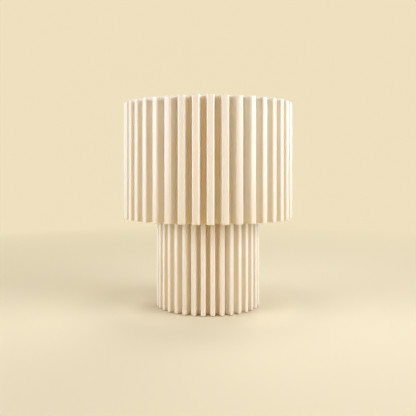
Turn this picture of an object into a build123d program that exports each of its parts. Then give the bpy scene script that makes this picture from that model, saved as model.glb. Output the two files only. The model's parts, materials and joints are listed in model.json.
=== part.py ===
from build123d import *
import os
from math import cos, radians, sin, sqrt, tan

# Ribbed table lamp. Millimetres, +Z up, the front along -Y.
# The origin is the centre of the footprint, on the surface that the lamp stands on.

# Whole lamp
LAMP_HEIGHT = 239.0
FRONT = -90.0  # direction of the front, in degrees from +X

# Ribbed shade
SHADE_DIAMETER = 200.0
SHADE_HEIGHT = 134.5
SHADE_WALL = 1.8
SHADE_RIBS = 40
SHADE_RIB_DEPTH = 11.5
SHADE_CREST_WIDTH = 7.6
SHADE_GROOVE_WIDTH = 4.8
SHADE_CREST_ROUND = 2.0
SHADE_GROOVE_ROUND = 1.0
SHADE_TURN = 1.6  # degrees from the front to the nearest crest
SHADE_OVERLAP = 11.5  # how far the base reaches up into the shade
TIGHTEST_ROUND = 0.4

# Ribbed base
BASE_DIAMETER = 122.3
BASE_WALL = 2.6  # behind the floors of the grooves
BASE_RIBS = 35
BASE_RIB_DEPTH = 8.5
BASE_CREST_WIDTH = 4.8
BASE_GROOVE_WIDTH = 2.8
BASE_CREST_ROUND = 1.2
BASE_GROOVE_ROUND = 0.7
BASE_TURN = 5.1  # degrees from the front to the nearest crest
RIB_LIFT = 0.8  # rib ends above the table
DECK_THICKNESS = 4.0
DECK_ROUND = 5.0

# Collar on the deck, which centres the shade, and its key
COLLAR_HEIGHT = 7.0
COLLAR_WALL = 3.0
COLLAR_GAP = 2.0  # round the clamp ring
KEY_WIDTH = 6.0
KEY_DEPTH = 2.0
SEAT_CLEARANCE = 0.4  # between the collar and the carrier

# Carrier of the shade, its lugs and screws
CARRIER_THICKNESS = 2.5
CARRIER_RING_WIDTH = 13.0
CARRIER_ARMS = 4
ARM_WIDTH = 14.0
ARM_ROUND = 6.0
ARM_END_GAP = 1.0  # to the wall of the shade
LUG_WIDTH = 12.0
LUG_REACH = 17.0
LUG_TIP_HEIGHT = 10.0
LUG_ROOT_HEIGHT = 20.0
LUG_SCREW_INSET = 9.0  # from the end of an arm
CARRIER_SCREW = {"shank": 4.0, "length": 10.0, "head": 7.6, "head_height": 2.4}

# Bottom plate, feet and weight
FOOT_HEIGHT = 2.6
FOOT_DIAMETER = 16.0
FOOT_COUNT = 4
FOOT_INSET = 3.0  # from the edge of the plate
FOOT_ROUND = 0.6
PLATE_THICKNESS = 3.0
PLATE_CLEARANCE = 0.3
BOSS_DIAMETER = 10.0
BOSS_LENGTH = 18.0
BOSS_SINK = 0.8  # of a boss into the wall
PLATE_SCREW = {"shank": 3.5, "length": 14.0, "head": 6.4, "head_height": 1.8}
PLATE_SCREW_COUNT = 4
BALLAST_HEIGHT = 16.0
BALLAST_GAP = 1.5  # to the bosses
BALLAST_EYE = 16.0
BALLAST_SLOT_WIDTH = 16.0
BALLAST_SLOT_DEPTH = 12.0
BALLAST_EDGE = 1.5
BALLAST_SCREW = {"shank": 5.0, "length": 12.0, "head": 9.0, "head_height": 2.0}
BALLAST_SCREW_COUNT = 3
BALLAST_SCREW_CIRCLE = 38.0

# Inlet of the cord in the rear wall
CORD_BORE = 6.6
GROMMET_WAIST = 10.0
GROMMET_FLANGE = 15.0
GROMMET_LIP = 2.2  # thickness of each flange
GROMMET_GRIP = 3.2  # wall held between the flanges
GROMMET_CLEARANCE = 0.1
SPOT_FACE = 18.0
SPOT_SINK = 0.5  # below the floors of the grooves
PAD_DIAMETER = 20.0
PAD_LIFT = 1.5  # above the bottom plate

# Lampholder for a 27 mm screw cap
HOLDER_DIAMETER = 39.0
HOLDER_CLEARANCE = 0.4  # in the hole of the deck
THREAD_CLEARANCE = 0.05
RING_DIAMETER = 54.0
RING_HUB = 47.0
RING_THICKNESS = 5.0
RING_FLANGE = 2.0
RING_NOTCHES = 12
RING_NOTCH_WIDTH = 3.0
RING_NOTCH_DEPTH = 1.2
CAP_GAP = 1.0  # from the lower ring to the cap
CAP_OVERLAP = 8.0
CAP_WALL = 2.2
CAP_STRAIGHT = 10.0
CAP_TAPER = 12.0
CAP_NECK = 20.0
CAP_NECK_LENGTH = 6.0
CAP_ROUND = 4.0
WIRE_ENTRY = 10.0
CERAMIC_DIAMETER = 34.0
CERAMIC_THICKNESS = 9.0
CERAMIC_LEDGE = 1.5
CERAMIC_CLEARANCE = 0.1
SOCKET_DEPTH = 27.0
SOCKET_LIP = 2.0
SHELL_BORE = 26.6
SHELL_WALL = 0.5
SHELL_CLEARANCE = 0.1
TERMINAL_SCREW = {"shank": 3.0, "length": 5.0, "head": 5.6, "head_height": 2.0}
TERMINAL_SPACING = 18.0
TONGUE_WIDTH = 6.0
TONGUE_THICKNESS = 0.6
TONGUE_RISE = 3.2
TONGUE_FOOT = 5.0
TONGUE_RAMP = 4.0
TONGUE_TIP = 5.0

# Bulb
BULB_DIAMETER = 45.0
GLOBE_WALL = 1.2
HOUSING_TOP = 41.0
HOUSING_NECK = 27.4
HOUSING_LENGTH = 20.0
HOUSING_WALL = 1.6
HOUSING_COLLAR = 2.5  # straight length above the screw cap
HOUSING_BAND = 2.0  # straight length under the globe
HOUSING_ROUND = 4.0
HOUSING_GAP = 1.0  # from the mouth of the lampholder
CAP_FIT = 0.3  # between the bulb's cap and the screw shell
CAP_SHEET = 0.6
CAP_LIP = 4.0
INSULATOR_HEIGHT = 4.6
INSULATOR_INSET = 1.5
INSULATOR_END = 11.0
CONTACT_DIAMETER = 9.0
CONTACT_HEIGHT = 1.6
CONTACT_ROUND = 1.0
CONTACT_GAP = 0.1
LED_PLATE_THICKNESS = 1.6
LED_PLATE_CLEARANCE = 0.2
LED_LEDGE = 2.0
LED_CHIPS = 8
LED_CIRCLE = 22.0
LED_CHIP = (3.5, 2.8, 0.8)
BOARD = (18.0, 1.6, 26.0)
CAPACITOR_DIAMETER = 8.0
CAPACITOR_LENGTH = 12.0
CAPACITOR_DROP = 4.0  # below the plate of chips

# Heights, from the table up
plate_bottom = FOOT_HEIGHT
plate_top = plate_bottom + PLATE_THICKNESS
shade_bottom = LAMP_HEIGHT - SHADE_HEIGHT
deck_top = shade_bottom + SHADE_OVERLAP
deck_under = deck_top - DECK_THICKNESS
carrier_top = deck_top + CARRIER_THICKNESS
holder_bottom = deck_under - RING_THICKNESS - CAP_GAP - CAP_OVERLAP
ceramic_top = holder_bottom + CERAMIC_THICKNESS
socket_mouth = ceramic_top + SOCKET_DEPTH
bulb_end = ceramic_top + TONGUE_RISE + CONTACT_GAP
insulator_bottom = bulb_end + CONTACT_HEIGHT
cap_bottom = insulator_bottom + INSULATOR_HEIGHT
housing_bottom = socket_mouth + HOUSING_GAP
housing_top = housing_bottom + HOUSING_LENGTH
grommet_height = plate_top + PAD_LIFT + PAD_DIAMETER / 2

# Radii that several pieces share
base_bore = BASE_DIAMETER / 2 - BASE_RIB_DEPTH - BASE_WALL
plate_radius = base_bore - PLATE_CLEARANCE
boss_circle = base_bore + BOSS_SINK - BOSS_DIAMETER / 2
shade_inner = SHADE_DIAMETER / 2 - SHADE_RIB_DEPTH - SHADE_WALL
arm_end = shade_inner - ARM_END_GAP
lug_screw_circle = arm_end - LUG_SCREW_INSET
collar_inner = RING_DIAMETER / 2 + COLLAR_GAP
collar_outer = collar_inner + COLLAR_WALL
carrier_hole = collar_outer + SEAT_CLEARANCE
carrier_ring = carrier_hole + CARRIER_RING_WIDTH
thread_bore = HOLDER_DIAMETER / 2 + THREAD_CLEARANCE
shell_outer = SHELL_BORE / 2 + SHELL_WALL
bulb_cap_radius = SHELL_BORE / 2 - CAP_FIT

# Seat of the grommet: two flat faces, square to the rear direction
base_groove_floor = BASE_DIAMETER / 2 - BASE_RIB_DEPTH
grommet_outside = sqrt(base_groove_floor**2 - (SPOT_FACE / 2) ** 2) - SPOT_SINK
grommet_inside = grommet_outside - GROMMET_GRIP


def rounded_face(corners, rounds):
    """Face inside a closed line of corners, each with its own round."""
    count = len(corners)
    sides = [(corners[(i + 1) % count] - corners[i]).normalized() for i in range(count)]
    starts = []
    ends = []
    for i in range(count):
        bend = radians(sides[i - 1].get_angle(sides[i]))
        reach = rounds[i] * tan(bend / 2)
        starts.append(corners[i] - sides[i - 1] * reach)
        ends.append(corners[i] + sides[i] * reach)
    edges = []
    for i in range(count):
        edges.append(TangentArc(starts[i], ends[i], tangent=sides[i - 1]))
        edges.append(Line(ends[i], starts[(i + 1) % count]))
    return make_face(edges)


def ribbed_face(radius, depth, ribs, crest_width, groove_width, crest_round, groove_round, turn, inset=0.0):
    """Face with straight-sided ribs all round, drawn in by inset as the inner side of a wall is."""
    half_pitch = radians(180 / ribs)
    to_groove = Vector(sin(half_pitch), cos(half_pitch))
    along_groove = Vector(cos(half_pitch), -sin(half_pitch))
    groove_radius = radius - depth

    # One flank, from the corner of a crest to the corner of the next groove, with the crest along +Y
    crest_corner = Vector(crest_width / 2, radius)
    groove_corner = to_groove * groove_radius - along_groove * (groove_width / 2)
    flank = (groove_corner - crest_corner).normalized()
    on_flank = crest_corner + Vector(flank.Y, -flank.X) * inset
    crest = on_flank + flank * ((radius - inset - on_flank.Y) / flank.Y)
    to_floor = groove_radius - inset - on_flank.dot(to_groove)
    groove = on_flank + flank * (to_floor / flank.dot(to_groove))

    one_rib = [groove, crest, Vector(-crest.X, crest.Y), Vector(-groove.X, groove.Y)]
    crest_in = max(crest_round - inset, TIGHTEST_ROUND)
    groove_in = groove_round + inset
    corners = []
    for rib in range(ribs):
        direction = FRONT + turn + rib * 360 / ribs
        corners += [corner.rotate(Axis.Z, direction - 90) for corner in one_rib]
    return rounded_face(corners, [groove_in, crest_in, crest_in, groove_in] * ribs)


def turned(*points, round_at=None):
    """Solid of revolution about Z from a closed outline of (radius, height) points."""
    corners = [Vector(radius, height) for radius, height in points]
    rounds = [0.0] * len(corners)
    for index, size in (round_at or {}).items():
        rounds[index] = size
    outline = FilletPolyline(*corners, radius=rounds, close=True)
    return revolve(Plane.XZ * make_face(outline), Axis.Z)


def tube(outer, inner, bottom, top):
    """Straight round wall between two radii and two heights."""
    ring = Circle(outer) - Circle(inner)
    return extrude(Pos(0, 0, bottom) * ring, top - bottom)


def disc(radius, bottom, top):
    """Upright round solid between two heights."""
    return extrude(Pos(0, 0, bottom) * Circle(radius), top - bottom)


def spots(circle, count, first):
    """Places on a circle, with +X of each pointing outwards."""
    return [Rot(0, 0, first + i * 360 / count) * Pos(circle, 0, 0) for i in range(count)]


def screw_up(size, seat):
    """Screw put in from below, with the top of its head at the seat."""
    head = disc(size["head"] / 2, seat - size["head_height"], seat)
    head = fillet(head.edges().group_by(Axis.Z)[0], size["head_height"] / 3)
    return head + disc(size["shank"] / 2, seat, seat + size["length"])


def screw_hole(size, bottom, top):
    """Clear hole for the shank of a screw."""
    return disc(size["shank"] / 2 + THREAD_CLEARANCE, bottom, top)


def group(places, solid):
    """The same solid at several places, as separate solids of one node."""
    return Compound(children=[place * solid for place in places])


boss_spots = spots(boss_circle, PLATE_SCREW_COUNT, FRONT + 180 / PLATE_SCREW_COUNT)
ballast_screw_spots = spots(BALLAST_SCREW_CIRCLE / 2, BALLAST_SCREW_COUNT, FRONT)

# The arms of the carrier point at the grooves nearest to an even spread
groove_pitch = 360 / SHADE_RIBS
arm_directions = []
for arm in range(CARRIER_ARMS):
    nearest_groove = round(arm * SHADE_RIBS / CARRIER_ARMS) + 0.5
    arm_directions.append(FRONT + SHADE_TURN + nearest_groove * groove_pitch)


def shade_lug():
    """Bracket inside the shade, along +X, with a flat underside for an arm of the carrier."""
    root = shade_inner + SHADE_WALL / 2
    tip = arm_end - LUG_REACH
    side = Polyline(
        (tip, carrier_top),
        (root, carrier_top),
        (root, carrier_top + LUG_ROOT_HEIGHT),
        (tip, carrier_top + LUG_TIP_HEIGHT),
        close=True,
    )
    lug = extrude(Plane.XZ * make_face(side), LUG_WIDTH / 2, both=True)
    hole_top = deck_top + CARRIER_SCREW["length"] + THREAD_CLEARANCE
    return lug - Pos(lug_screw_circle, 0, 0) * screw_hole(CARRIER_SCREW, carrier_top, hole_top)


def make_shade_shell():
    """Corrugated drum of one wall thickness, with the lugs fused inside."""
    shape = (SHADE_DIAMETER / 2, SHADE_RIB_DEPTH, SHADE_RIBS, SHADE_CREST_WIDTH, SHADE_GROOVE_WIDTH)
    rounds = (SHADE_CREST_ROUND, SHADE_GROOVE_ROUND, SHADE_TURN)
    wall = ribbed_face(*shape, *rounds) - ribbed_face(*shape, *rounds, inset=SHADE_WALL)
    shell = extrude(Pos(0, 0, shade_bottom) * wall, SHADE_HEIGHT)
    return shell + [Rot(0, 0, direction) * shade_lug() for direction in arm_directions]


def make_shade_carrier():
    """Flat ring round the collar with one arm to each lug and a notch for the key."""
    reach = arm_end - carrier_hole
    arm = Pos(carrier_hole + reach / 2, 0) * Rectangle(reach, ARM_WIDTH)
    plate = Circle(carrier_ring) + [Rot(0, 0, direction) * arm for direction in arm_directions]
    inner_corners = plate.vertices().filter_by(lambda v: Vector(v.X, v.Y).length < carrier_ring + ARM_WIDTH)
    plate = fillet(inner_corners, ARM_ROUND)
    notch_reach = collar_outer + KEY_DEPTH + SEAT_CLEARANCE
    notch_width = KEY_WIDTH + 2 * SEAT_CLEARANCE
    plate -= Circle(carrier_hole)
    plate -= Pos(0, notch_reach / 2) * Rectangle(notch_width, notch_reach)
    carrier = extrude(Pos(0, 0, deck_top) * plate, CARRIER_THICKNESS)
    hole = Pos(lug_screw_circle, 0, 0) * screw_hole(CARRIER_SCREW, deck_top, carrier_top)
    return carrier - [Rot(0, 0, direction) * hole for direction in arm_directions]


def make_carrier_screws():
    """One screw up through each arm."""
    places = [Rot(0, 0, direction) * Pos(lug_screw_circle, 0, 0) for direction in arm_directions]
    return group(places, screw_up(CARRIER_SCREW, deck_top))


def make_base_shell():
    """Ribbed drum with a round bore, a deck with a keyed collar, screw bosses and the inlet of the cord."""
    shape = (BASE_DIAMETER / 2, BASE_RIB_DEPTH, BASE_RIBS, BASE_CREST_WIDTH, BASE_GROOVE_WIDTH)
    outline = ribbed_face(*shape, BASE_CREST_ROUND, BASE_GROOVE_ROUND, BASE_TURN)
    shell = extrude(Pos(0, 0, RIB_LIFT) * outline, deck_top - RIB_LIFT)
    cavity = disc(base_bore, RIB_LIFT, deck_under)
    shell -= fillet(cavity.edges().group_by(Axis.Z)[-1], DECK_ROUND)

    collar_top = deck_top + COLLAR_HEIGHT
    shell += tube(collar_outer, collar_inner, deck_top, collar_top)
    key_depth = KEY_DEPTH + COLLAR_WALL / 2
    key = Pos(0, collar_outer + KEY_DEPTH - key_depth / 2) * Rectangle(KEY_WIDTH, key_depth)
    shell += extrude(Pos(0, 0, deck_top) * key, COLLAR_HEIGHT)
    shell -= disc(HOLDER_DIAMETER / 2 + HOLDER_CLEARANCE, deck_under, deck_top)

    boss = disc(BOSS_DIAMETER / 2, plate_top, plate_top + BOSS_LENGTH)
    shell += [spot * boss for spot in boss_spots]
    hole_top = plate_bottom + PLATE_SCREW["length"] + THREAD_CLEARANCE
    shell -= [spot * screw_hole(PLATE_SCREW, plate_top, hole_top) for spot in boss_spots]

    rear = Plane(origin=(0, 0, grommet_height), x_dir=(1, 0, 0), z_dir=(0, 1, 0))
    pad_depth = base_bore - grommet_inside + BASE_WALL / 2
    shell += extrude(rear.offset(grommet_inside) * Circle(PAD_DIAMETER / 2), pad_depth)
    shell -= extrude(rear.offset(grommet_outside) * Circle(SPOT_FACE / 2), BASE_DIAMETER / 2)
    waist = GROMMET_WAIST / 2 + GROMMET_CLEARANCE
    return shell - extrude(rear.offset(grommet_inside) * Circle(waist), GROMMET_GRIP)


def make_cord_grommet():
    """Bush with a flange on each side of the rear wall."""
    flange = GROMMET_FLANGE / 2
    waist = GROMMET_WAIST / 2
    bore = CORD_BORE / 2
    bush = turned(
        (bore, -GROMMET_LIP),
        (flange, -GROMMET_LIP),
        (flange, 0),
        (waist, 0),
        (waist, GROMMET_GRIP),
        (flange, GROMMET_GRIP),
        (flange, GROMMET_GRIP + GROMMET_LIP),
        (bore, GROMMET_GRIP + GROMMET_LIP),
        round_at={1: GROMMET_LIP / 3, 6: GROMMET_LIP / 2},
    )
    return Plane(origin=(0, grommet_inside, grommet_height), x_dir=(1, 0, 0), z_dir=(0, 1, 0)) * bush


def make_base_plate():
    """Disc that closes the base, with clear holes for its own screws and those of the weight."""
    plate = disc(plate_radius, plate_bottom, plate_top)
    plate -= [spot * screw_hole(PLATE_SCREW, plate_bottom, plate_top) for spot in boss_spots]
    return plate - [spot * screw_hole(BALLAST_SCREW, plate_bottom, plate_top) for spot in ballast_screw_spots]


def make_rubber_feet():
    """Round pads under the plate, with a soft lower edge."""
    foot = disc(FOOT_DIAMETER / 2, 0, plate_bottom)
    foot = fillet(foot.edges().group_by(Axis.Z)[0], FOOT_ROUND)
    return group(spots(plate_radius - FOOT_INSET - FOOT_DIAMETER / 2, FOOT_COUNT, FRONT), foot)


def make_ballast_weight():
    """Thick disc on the plate, with an eye in the middle and a slot at the rear for the cord."""
    radius = boss_circle - BOSS_DIAMETER / 2 - BALLAST_GAP
    weight = disc(radius, plate_top, plate_top + BALLAST_HEIGHT)
    weight = chamfer(weight.edges().group_by(Axis.Z)[-1], BALLAST_EDGE)
    weight -= disc(BALLAST_EYE / 2, plate_top, plate_top + BALLAST_HEIGHT)
    slot = Pos(0, radius, plate_top) * Rectangle(BALLAST_SLOT_WIDTH, 2 * BALLAST_SLOT_DEPTH)
    weight -= extrude(slot, BALLAST_HEIGHT)
    hole_top = plate_bottom + BALLAST_SCREW["length"] + THREAD_CLEARANCE
    return weight - [spot * screw_hole(BALLAST_SCREW, plate_top, hole_top) for spot in ballast_screw_spots]


def make_lampholder_body():
    """Sleeve through the deck: bore for the screw shell above, a wider seat for the ceramic below."""
    body = tube(HOLDER_DIAMETER / 2, shell_outer + SHELL_CLEARANCE, holder_bottom, socket_mouth)
    seat = CERAMIC_DIAMETER / 2 + CERAMIC_CLEARANCE
    return body - disc(seat, holder_bottom, ceramic_top)


def make_lampholder_cap():
    """Cup screwed over the lower end of the sleeve, tapered to the entry of the wires."""
    outer = thread_bore + CAP_WALL
    neck = CAP_NECK / 2
    shoulder = holder_bottom - CAP_STRAIGHT
    throat = shoulder - CAP_TAPER
    end = throat - CAP_NECK_LENGTH
    inner = CERAMIC_DIAMETER / 2 - CERAMIC_LEDGE
    entry = WIRE_ENTRY / 2
    return turned(
        (entry, end),
        (neck, end),
        (neck, throat),
        (outer, shoulder),
        (outer, holder_bottom + CAP_OVERLAP),
        (thread_bore, holder_bottom + CAP_OVERLAP),
        (thread_bore, holder_bottom),
        (inner, holder_bottom),
        (inner, shoulder),
        (entry, throat),
        round_at={2: CAP_ROUND, 3: CAP_ROUND},
    )


def make_clamp_ring(seat, side):
    """Threaded ring whose flange lies on the seat, on its upper side (1) or its lower side (-1)."""
    ring = tube(RING_DIAMETER / 2, thread_bore, 0, RING_FLANGE)
    ring += tube(RING_HUB / 2, thread_bore, RING_FLANGE, RING_THICKNESS)
    notch = Pos(0, 0, RING_FLANGE) * Rectangle(2 * RING_NOTCH_DEPTH, RING_NOTCH_WIDTH)
    notch = extrude(notch, RING_THICKNESS - RING_FLANGE)
    ring -= [spot * notch for spot in spots(RING_HUB / 2, RING_NOTCHES, FRONT)]
    if side < 0:
        ring = Rot(180, 0, 0) * ring
    return Pos(0, 0, seat) * ring


def make_contact_carrier():
    """Ceramic disc between sleeve and cap, with tapped holes for the terminal screws."""
    ceramic = disc(CERAMIC_DIAMETER / 2, holder_bottom, ceramic_top)
    hole_top = holder_bottom + TERMINAL_SCREW["length"] + THREAD_CLEARANCE
    hole = screw_hole(TERMINAL_SCREW, holder_bottom, hole_top)
    return ceramic - [spot * hole for spot in spots(TERMINAL_SPACING / 2, 2, 0)]


def make_screw_shell():
    """Thin sleeve that takes the screw cap of the bulb."""
    return tube(shell_outer, SHELL_BORE / 2, ceramic_top, socket_mouth - SOCKET_LIP)


def make_centre_contact():
    """Spring tongue on the ceramic, bent up under the end of the bulb."""
    tip_start = -TONGUE_TIP / 2
    foot_end = tip_start - TONGUE_RAMP
    low = ceramic_top
    high = ceramic_top + TONGUE_RISE
    side = Polyline(
        (foot_end - TONGUE_FOOT, low),
        (foot_end, low),
        (tip_start, high - TONGUE_THICKNESS),
        (tip_start + TONGUE_TIP, high - TONGUE_THICKNESS),
        (tip_start + TONGUE_TIP, high),
        (tip_start, high),
        (foot_end, low + TONGUE_THICKNESS),
        (foot_end - TONGUE_FOOT, low + TONGUE_THICKNESS),
        close=True,
    )
    return extrude(Plane.XZ * make_face(side), TONGUE_WIDTH / 2, both=True)


def make_bulb_globe():
    """Opal shell of the bulb, a ball cut off where it sits on the housing."""
    radius = BULB_DIAMETER / 2
    rim = HOUSING_TOP / 2
    centre = housing_top + sqrt(radius**2 - rim**2)
    ball = Pos(0, 0, centre) * (Sphere(radius) - Sphere(radius - GLOBE_WALL))
    below = centre - housing_top
    return ball - disc(BULB_DIAMETER, housing_top - radius - below, housing_top)


def make_bulb_housing():
    """Flared cup from the screw cap to the globe, with a ledge inside for the plate of chips."""
    neck = HOUSING_NECK / 2
    rim = HOUSING_TOP / 2
    ledge = housing_top - LED_PLATE_THICKNESS
    inside = rim - HOUSING_WALL
    collar_top = housing_bottom + HOUSING_COLLAR
    return turned(
        (neck - HOUSING_WALL, housing_bottom),
        (neck, housing_bottom),
        (neck, collar_top),
        (rim, housing_top - HOUSING_BAND),
        (rim, housing_top),
        (inside, housing_top),
        (inside, ledge),
        (inside - LED_LEDGE, ledge),
        (neck - HOUSING_WALL, collar_top),
        round_at={2: HOUSING_ROUND, 3: HOUSING_ROUND},
    )


def make_bulb_screw_cap():
    """Thin cup with its lower edge turned in over the insulator."""
    inner = bulb_cap_radius - CAP_SHEET
    return turned(
        (bulb_cap_radius - CAP_LIP, cap_bottom),
        (bulb_cap_radius, cap_bottom),
        (bulb_cap_radius, housing_bottom),
        (inner, housing_bottom),
        (inner, cap_bottom + CAP_SHEET),
        (bulb_cap_radius - CAP_LIP, cap_bottom + CAP_SHEET),
    )


def make_bulb_insulator():
    """Glass cone between the screw cap and the contact."""
    return turned(
        (0, insulator_bottom),
        (INSULATOR_END / 2, insulator_bottom),
        (bulb_cap_radius - INSULATOR_INSET, cap_bottom),
        (0, cap_bottom),
    )


def make_bulb_contact():
    """Rounded button at the end of the bulb."""
    button = disc(CONTACT_DIAMETER / 2, bulb_end, insulator_bottom)
    return fillet(button.edges().group_by(Axis.Z)[0], CONTACT_ROUND)


def make_bulb_led_plate():
    """Round plate with a circle of chips, on the ledge of the housing."""
    radius = HOUSING_TOP / 2 - HOUSING_WALL - LED_PLATE_CLEARANCE
    plate = disc(radius, housing_top - LED_PLATE_THICKNESS, housing_top)
    chip = Pos(0, 0, housing_top + LED_CHIP[2] / 2) * Box(*LED_CHIP)
    return plate + [spot * chip for spot in spots(LED_CIRCLE / 2, LED_CHIPS, FRONT)]


def make_bulb_driver_board():
    """Upright board under the plate of chips, with its capacitor."""
    top = housing_top - LED_PLATE_THICKNESS
    board = Pos(0, 0, top - BOARD[2] / 2) * Box(*BOARD)
    across = (BOARD[1] + CAPACITOR_DIAMETER) / 2 - BOARD[1] / 4
    can_top = top - CAPACITOR_DROP
    can = disc(CAPACITOR_DIAMETER / 2, can_top - CAPACITOR_LENGTH, can_top)
    return board + Pos(0, across, 0) * can


nodes = {
    "shade_shell": make_shade_shell(),
    "shade_carrier": make_shade_carrier(),
    "carrier_screws": make_carrier_screws(),
    "base_shell": make_base_shell(),
    "base_plate": make_base_plate(),
    "base_plate_screws": group(boss_spots, screw_up(PLATE_SCREW, plate_bottom)),
    "rubber_feet": make_rubber_feet(),
    "ballast_weight": make_ballast_weight(),
    "ballast_screws": group(ballast_screw_spots, screw_up(BALLAST_SCREW, plate_bottom)),
    "cord_grommet": make_cord_grommet(),
    "lampholder_body": make_lampholder_body(),
    "lampholder_cap": make_lampholder_cap(),
    "upper_clamp_ring": make_clamp_ring(deck_top, 1),
    "lower_clamp_ring": make_clamp_ring(deck_under, -1),
    "contact_carrier": make_contact_carrier(),
    "screw_shell": make_screw_shell(),
    "centre_contact": make_centre_contact(),
    "terminal_screws": group(spots(TERMINAL_SPACING / 2, 2, 0), screw_up(TERMINAL_SCREW, holder_bottom)),
    "bulb_globe": make_bulb_globe(),
    "bulb_housing": make_bulb_housing(),
    "bulb_screw_cap": make_bulb_screw_cap(),
    "bulb_insulator": make_bulb_insulator(),
    "bulb_contact": make_bulb_contact(),
    "bulb_led_plate": make_bulb_led_plate(),
    "bulb_driver_board": make_bulb_driver_board(),
}

os.makedirs("parts", exist_ok=True)
for name, shape in nodes.items():
    export_step(shape, f"parts/{name}.step")
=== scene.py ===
"""Ribbed table lamp: the finished looks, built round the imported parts.

Laid out as an add-on and run as a script. Lengths are in metres, in the frame of the parts: +Z up, the front
along -Y, the origin at the centre of the footprint.
"""

import json
from math import atan2, cos, pi, radians, sin, tan

import bmesh
import bpy
from bpy.props import (
    FloatProperty,
    FloatVectorProperty,
    IntProperty,
    PointerProperty,
)
from bpy.types import Operator, Panel, PropertyGroup
from mathutils import Matrix, Vector


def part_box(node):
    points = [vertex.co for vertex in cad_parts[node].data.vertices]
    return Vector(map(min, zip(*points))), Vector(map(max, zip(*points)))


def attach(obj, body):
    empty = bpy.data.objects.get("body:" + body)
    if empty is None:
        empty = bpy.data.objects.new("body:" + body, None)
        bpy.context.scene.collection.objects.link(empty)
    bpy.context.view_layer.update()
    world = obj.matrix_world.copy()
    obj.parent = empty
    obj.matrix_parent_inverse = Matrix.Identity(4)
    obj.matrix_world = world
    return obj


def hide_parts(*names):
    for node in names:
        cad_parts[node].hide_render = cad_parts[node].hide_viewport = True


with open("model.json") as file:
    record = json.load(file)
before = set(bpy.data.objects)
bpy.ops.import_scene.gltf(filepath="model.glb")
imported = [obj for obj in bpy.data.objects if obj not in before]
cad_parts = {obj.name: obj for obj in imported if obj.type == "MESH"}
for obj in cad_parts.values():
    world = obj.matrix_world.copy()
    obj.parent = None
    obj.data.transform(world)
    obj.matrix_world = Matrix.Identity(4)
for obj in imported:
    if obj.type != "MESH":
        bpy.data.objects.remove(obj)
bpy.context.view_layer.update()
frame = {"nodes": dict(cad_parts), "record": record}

bl_info = {
    "name": "Ribbed Table Lamp",
    "version": (1, 0, 0),
    "blender": (4, 5, 0),
    "location": "View3D > Sidebar > Lamp",
    "description": "Builds the shells, fittings, bulb and stage of a ribbed table lamp",
    "category": "Add Mesh",
}

FRONT = -pi / 2
REAR = pi / 2
MM_PER_METRE = 1000

# Steps in the round of a rib, in any other round, across the soft edge of a prism and in a full turn
ARC_STEPS = 6
EDGE_STEPS = 4
PRISM_STEPS = 3
TURN_STEPS = 96

TIGHTEST_ROUND = 0.0004
SHARP_ANGLE = radians(40)
FLAT_ANGLE = radians(1)
SAME_PLACE = 1e-6

NODE_BODY = {node: body for body, nodes in frame["record"]["behaviour"]["bodies"].items() for node in nodes}


# Sizes and colours that a user would change


def length(name, description, default):
    """A size in metres."""
    return FloatProperty(
        name=name, description=description, default=default, min=0.0, precision=5, unit="LENGTH"
    )


def colour(name, description, default):
    """The colour of a surface or of a light."""
    return FloatVectorProperty(
        name=name, description=description, default=default, size=3, min=0.0, max=1.0, subtype="COLOR"
    )


def power(name, description, default):
    """The power of one lamp of the stage."""
    return FloatProperty(name=name, description=description, default=default, min=0.0, unit="POWER")


class ShadeSettings(PropertyGroup):
    """Ribbed drum of the shade"""

    radius: length("Radius", "From the axis to the crest of a rib", 0.1)
    ribs: IntProperty(name="Ribs", description="Ribs round the shade", default=40, min=3)
    depth: length("Rib depth", "From a crest to the floor of a groove", 0.0115)
    crest_width: length("Crest width", "Flat top of a rib, corner to corner", 0.0076)
    groove_width: length("Groove width", "Floor of a groove, corner to corner", 0.0048)
    crest_round: length("Crest round", "Radius along the edges of a rib", 0.0022)
    groove_round: length("Groove round", "Radius along the floor of a groove", 0.0010)
    turn: FloatProperty(
        name="Turn", description="From the front to the nearest crest", default=radians(1.6), subtype="ANGLE"
    )
    wall: length("Wall", "Thickness of the corrugated wall", 0.0018)
    rim_round: length("Rim round", "Radius along the upper and lower rims", 0.0007)


class BaseSettings(PropertyGroup):
    """Ribbed drum of the base"""

    radius: length("Radius", "From the axis to the crest of a rib", 0.06115)
    ribs: IntProperty(name="Ribs", description="Ribs round the base", default=35, min=3)
    depth: length("Rib depth", "From a crest to the floor of a groove", 0.0085)
    crest_width: length("Crest width", "Flat top of a rib, corner to corner", 0.0048)
    groove_width: length("Groove width", "Floor of a groove, corner to corner", 0.0028)
    crest_round: length("Crest round", "Radius along the edges of a rib", 0.0014)
    groove_round: length("Groove round", "Radius along the floor of a groove", 0.0007)
    turn: FloatProperty(
        name="Turn", description="From the front to the nearest crest", default=radians(5.1), subtype="ANGLE"
    )
    wall: length("Wall", "Thickness behind the floor of a groove", 0.0026)
    rim_round: length("Rim round", "Radius along the ends of the ribs", 0.0007)
    collar_gap: length("Collar gap", "From the clamp ring to the collar", 0.0020)
    collar_wall: length("Collar wall", "Thickness of the collar", 0.0030)
    deck_round: length("Deck round", "Radius under the deck", 0.0050)
    hole_clearance: length("Hole clearance", "Round the lampholder in the deck", 0.0004)
    key_width: length("Key width", "Width of the key on the collar", 0.0060)
    key_depth: length("Key depth", "How far the key stands out", 0.0020)
    spot_face: length("Spot face", "Diameter of the flat round the cord inlet", 0.0180)
    pad: length("Pad", "Diameter of the thick place behind the flat", 0.0200)
    boss_width: length("Boss width", "Diameter of the bosses for the bottom plate", 0.0100)
    boss_length: length("Boss length", "Height of the bosses for the bottom plate", 0.0180)


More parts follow.
